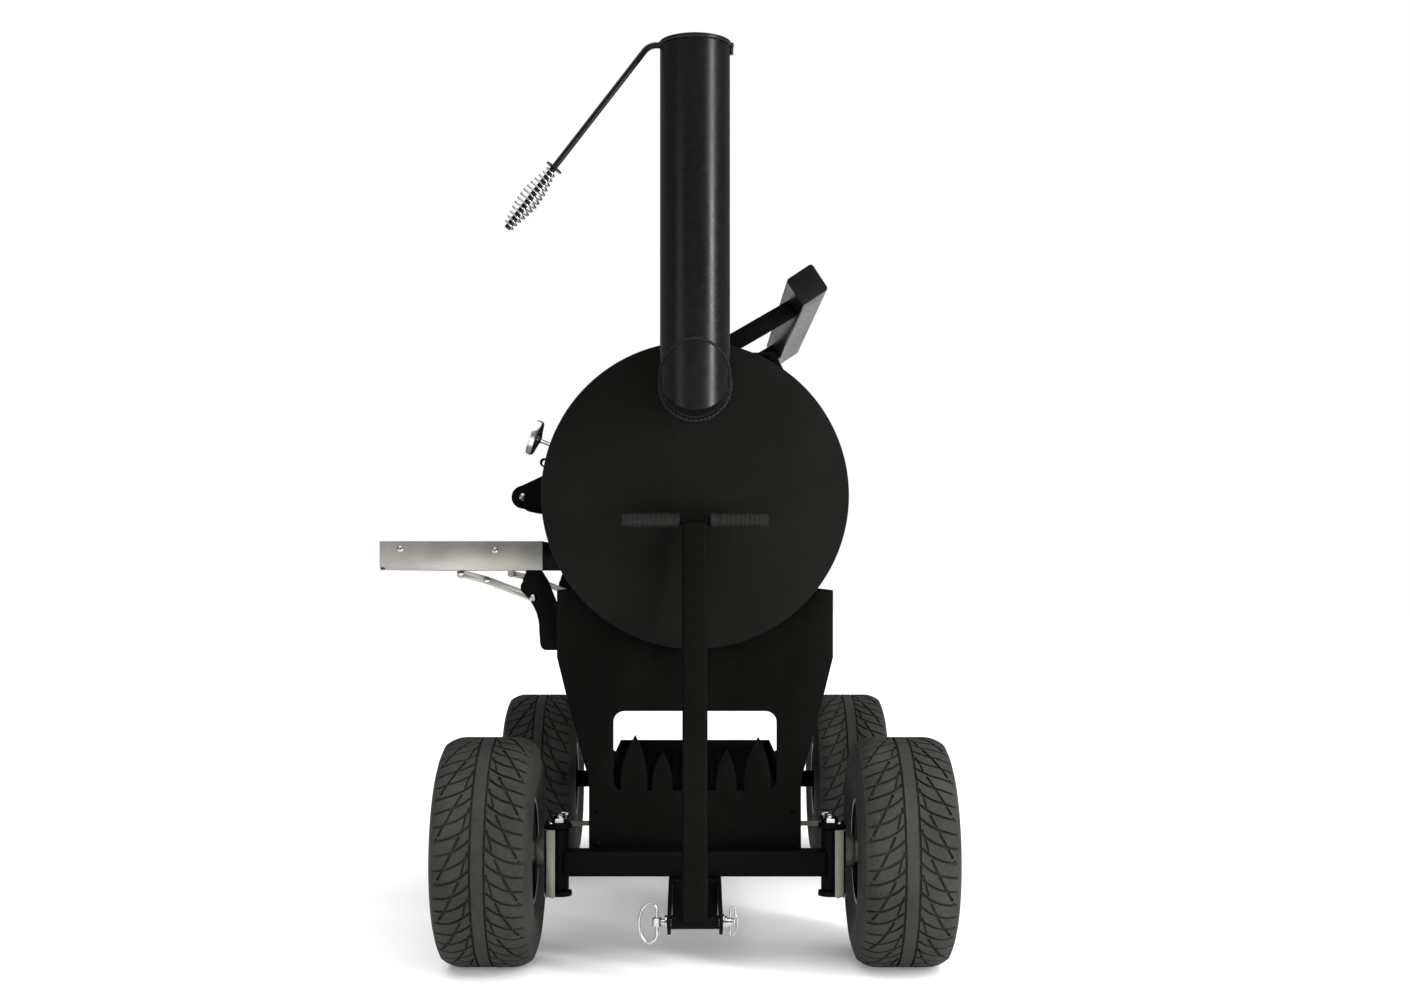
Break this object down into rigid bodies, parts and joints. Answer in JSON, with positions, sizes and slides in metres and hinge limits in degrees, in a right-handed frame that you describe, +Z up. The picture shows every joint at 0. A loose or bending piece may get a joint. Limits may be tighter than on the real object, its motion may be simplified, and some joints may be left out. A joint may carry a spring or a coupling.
{
  "type": "offset smoker",
  "caption": "Offset wood smoker on a steerable wheeled cart, with horizontal cook chamber, counterweighted door, firebox, tall stack, folding side shelf and tow handle.",
  "frame": {"origin": "bottom centre of the whole object's box, on the ground", "axes": "+Z up, +Y from the stack end towards the firebox end, +X to the right as seen from the stack end"},
  "size_m": [1.1454, 2.0484, 1.7923],
  "materials": {
    "black_paint": "matte",
    "satin_black": "satin",
    "stainless": "brushed",
    "zinc_steel": "satin",
    "chrome": "polished",
    "tyre_rubber": "matte",
    "grip_rubber": "matte",
    "bare_steel": "satin",
    "dial_face": "satin"
  },
  "bodies": {
    "root": {"chamber_shell": "black_paint", "chamber_end_plate": "black_paint", "divider_plate": "black_paint", "cooking_grate": "bare_steel", "stack_elbow": "satin_black", "stack_pipe": "satin_black", "door_hinge": "black_paint", "firebox_shell": "black_paint", "firebox_end_plate": "black_paint", "fire_grate": "bare_steel", "front_panel": "black_paint", "rear_panel": "black_paint", "side_rail_left": "black_paint", "side_rail_right": "black_paint", "frame_rail_left": "black_paint", "frame_rail_right": "black_paint", "storage_tray": "black_paint", "front_axle_beam": "black_paint", "rear_axle_beam": "black_paint", "shelf_bracket_near": "black_paint", "shelf_bracket_far": "black_paint", "drain_valve": "bare_steel"},
    "chamber_door": {"door_panel": "black_paint", "counterweight": "black_paint", "door_arm_near": "black_paint", "door_arm_far": "black_paint", "handle_bracket_near": "black_paint", "handle_bracket_far": "black_paint", "handle_bar": "bare_steel", "thermometer": "dial_face"},
    "stack_lid": {"stack_lid": "satin_black", "lid_rod": "satin_black", "spring_grip": "chrome"},
    "firebox_door": {"firebox_door": "black_paint"},
    "firebox_latch": {"firebox_latch": "bare_steel"},
    "air_damper": {"air_damper": "bare_steel"},
    "drain_lever": {"drain_lever": "zinc_steel"},
    "shelf": {"shelf_top": "stainless"},
    "stay_lower_near": {"stay_lower_near": "stainless"},
    "stay_lower_far": {"stay_lower_far": "stainless"},
    "stay_upper_near": {"stay_upper_near": "stainless"},
    "stay_upper_far": {"stay_upper_far": "stainless"},
    "tongue": {"tongue": "black_paint", "hitch_pin": "chrome", "pin_clip": "chrome"},
    "tie_rod": {"tie_rod": "zinc_steel"},
    "knuckle_left": {"knuckle_left": "zinc_steel"},
    "knuckle_right": {"knuckle_right": "zinc_steel"},
    "wheel_front_left": {"tyre_front_left": "tyre_rubber", "rim_front_left": "satin_black"},
    "wheel_front_right": {"tyre_front_right": "tyre_rubber", "rim_front_right": "satin_black"},
    "wheel_rear_left": {"tyre_rear_left": "tyre_rubber", "rim_rear_left": "satin_black"},
    "wheel_rear_right": {"tyre_rear_right": "tyre_rubber", "rim_rear_right": "satin_black"},
    "tow_handle": {"tow_handle": "satin_black", "grip_left": "grip_rubber", "grip_right": "grip_rubber"},
    "pin_ring": {"pin_ring": "chrome"}
  },
  "joints": [
    {"name": "chamber_door_hinge", "type": "hinge", "parent": "root", "child": "chamber_door", "pos_m": [0.23125, -0.19515, 1.227], "axis": [0, 1, 0], "range_deg": [0, 90]},
    {"name": "stack_lid_swivel", "type": "hinge", "parent": "root", "child": "stack_lid", "pos_m": [0.13875, -0.91615, 1.786], "axis": [0, 0, 1], "range_deg": [0, 110]},
    {"name": "firebox_door_hinge", "type": "hinge", "parent": "root", "child": "firebox_door", "pos_m": [0.24925, 0.98115, 0.7], "axis": [0, 0, -1], "range_deg": [0, 125]},
    {"name": "firebox_latch_turn", "type": "hinge", "parent": "firebox_door", "child": "firebox_latch", "pos_m": [-0.06475, 0.97815, 0.7], "axis": [0, 1, 0], "range_deg": [0, 90]},
    {"name": "air_damper_turn", "type": "hinge", "parent": "firebox_door", "child": "air_damper", "pos_m": [0.07025, 0.97815, 0.64], "axis": [0, 1, 0], "range_deg": [0, 60]},
    {"name": "drain_lever_turn", "type": "hinge", "parent": "root", "child": "drain_lever", "pos_m": [0.09625, -0.19565, 0.581], "axis": [1, 0, 0], "range_deg": [0, 90]},
    {"name": "shelf_fold", "type": "hinge", "parent": "root", "child": "shelf", "pos_m": [-0.26275, -0.20015, 0.812], "axis": [0, -1, 0], "range_deg": [0, 90]},
    {"name": "stay_lower_near_turn", "type": "hinge", "parent": "root", "child": "stay_lower_near", "pos_m": [-0.26075, -0.68355, 0.725], "axis": [0, -1, 0], "range_deg": [0, 110.5]},
    {"name": "stay_lower_far_turn", "type": "hinge", "parent": "root", "child": "stay_lower_far", "pos_m": [-0.26075, 0.28325, 0.725], "axis": [0, -1, 0], "range_deg": [0, 110.5]},
    {"name": "stay_upper_near_turn", "type": "hinge", "parent": "shelf", "child": "stay_upper_near", "pos_m": [-0.40975, -0.67875, 0.775], "axis": [0, -1, 0], "range_deg": [0, 153.7]},
    {"name": "stay_upper_far_turn", "type": "hinge", "parent": "shelf", "child": "stay_upper_far", "pos_m": [-0.40975, 0.27845, 0.775], "axis": [0, -1, 0], "range_deg": [0, 153.7]},
    {"name": "tongue_steer", "type": "hinge", "parent": "root", "child": "tongue", "pos_m": [0.07025, -0.79815, 0.172], "axis": [0, 0, 1], "range_deg": [-16, 16]},
    {"name": "tie_rod_follow", "type": "hinge", "parent": "tongue", "child": "tie_rod", "pos_m": [0.07025, -0.69815, 0.265], "axis": [0, 0, 1], "range_deg": [-17, 17]},
    {"name": "knuckle_left_steer", "type": "hinge", "parent": "root", "child": "knuckle_left", "pos_m": [-0.19775, -0.79815, 0.205], "axis": [0, 0, 1], "range_deg": [-17, 17]},
    {"name": "knuckle_right_steer", "type": "hinge", "parent": "root", "child": "knuckle_right", "pos_m": [0.33825, -0.79815, 0.205], "axis": [0, 0, 1], "range_deg": [-17, 17]},
    {"name": "wheel_front_left_spin", "type": "hinge", "parent": "knuckle_left", "child": "wheel_front_left", "pos_m": [-0.33475, -0.79815, 0.225], "axis": [1, 0, 0], "continuous": true},
    {"name": "wheel_front_right_spin", "type": "hinge", "parent": "knuckle_right", "child": "wheel_front_right", "pos_m": [0.47525, -0.79815, 0.225], "axis": [1, 0, 0], "continuous": true},
    {"name": "wheel_rear_left_spin", "type": "hinge", "parent": "root", "child": "wheel_rear_left", "pos_m": [-0.33475, 0.38785, 0.225], "axis": [1, 0, 0], "continuous": true},
    {"name": "wheel_rear_right_spin", "type": "hinge", "parent": "root", "child": "wheel_rear_right", "pos_m": [0.47525, 0.38785, 0.225], "axis": [1, 0, 0], "continuous": true},
    {"name": "tow_handle_tilt", "type": "hinge", "parent": "tongue", "child": "tow_handle", "pos_m": [0.07025, -1.00015, 0.125], "axis": [1, 0, 0], "range_deg": [0, 100]},
    {"name": "pin_ring_swing", "type": "hinge", "parent": "tongue", "child": "pin_ring", "pos_m": [-0.00075, -1.00015, 0.125], "axis": [0, 0, 1], "range_deg": [-60, 60]}
  ],
  "couplings": [
    {"joint": "stay_lower_near_turn", "follows": "shelf_fold", "ratio": 1.2168},
    {"joint": "stay_lower_far_turn", "follows": "shelf_fold", "ratio": 1.2168},
    {"joint": "stay_upper_near_turn", "follows": "shelf_fold", "ratio": 1.6967},
    {"joint": "stay_upper_far_turn", "follows": "shelf_fold", "ratio": 1.6967},
    {"joint": "tie_rod_follow", "follows": "tongue_steer", "ratio": -1},
    {"joint": "knuckle_left_steer", "follows": "tongue_steer", "ratio": 1},
    {"joint": "knuckle_right_steer", "follows": "tongue_steer", "ratio": 1}
  ]
}
